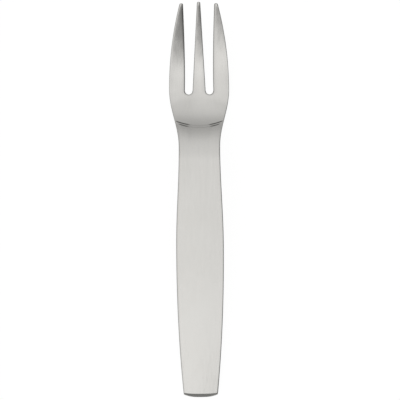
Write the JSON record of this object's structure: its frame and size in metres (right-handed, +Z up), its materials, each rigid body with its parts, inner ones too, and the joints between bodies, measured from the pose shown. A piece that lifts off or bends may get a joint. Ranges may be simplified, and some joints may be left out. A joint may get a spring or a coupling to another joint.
{
  "type": "pastry fork",
  "caption": "Stainless steel pastry fork with a broad flat handle that narrows to a bent neck, a shallow pressed bowl and tapered tines.",
  "frame": {"origin": "middle of the fork's length and width, on the table that it lies on", "axes": "+Y from the end of the handle to the tines, +X to the right when the tines point away and the hollow of the bowl faces up, +Z up"},
  "size_m": [0.0234, 0.1544, 0.0116],
  "materials": {
    "stainless_steel": "satin"
  },
  "bodies": {
    "root": {"fork": "stainless_steel"}
  },
  "joints": []
}
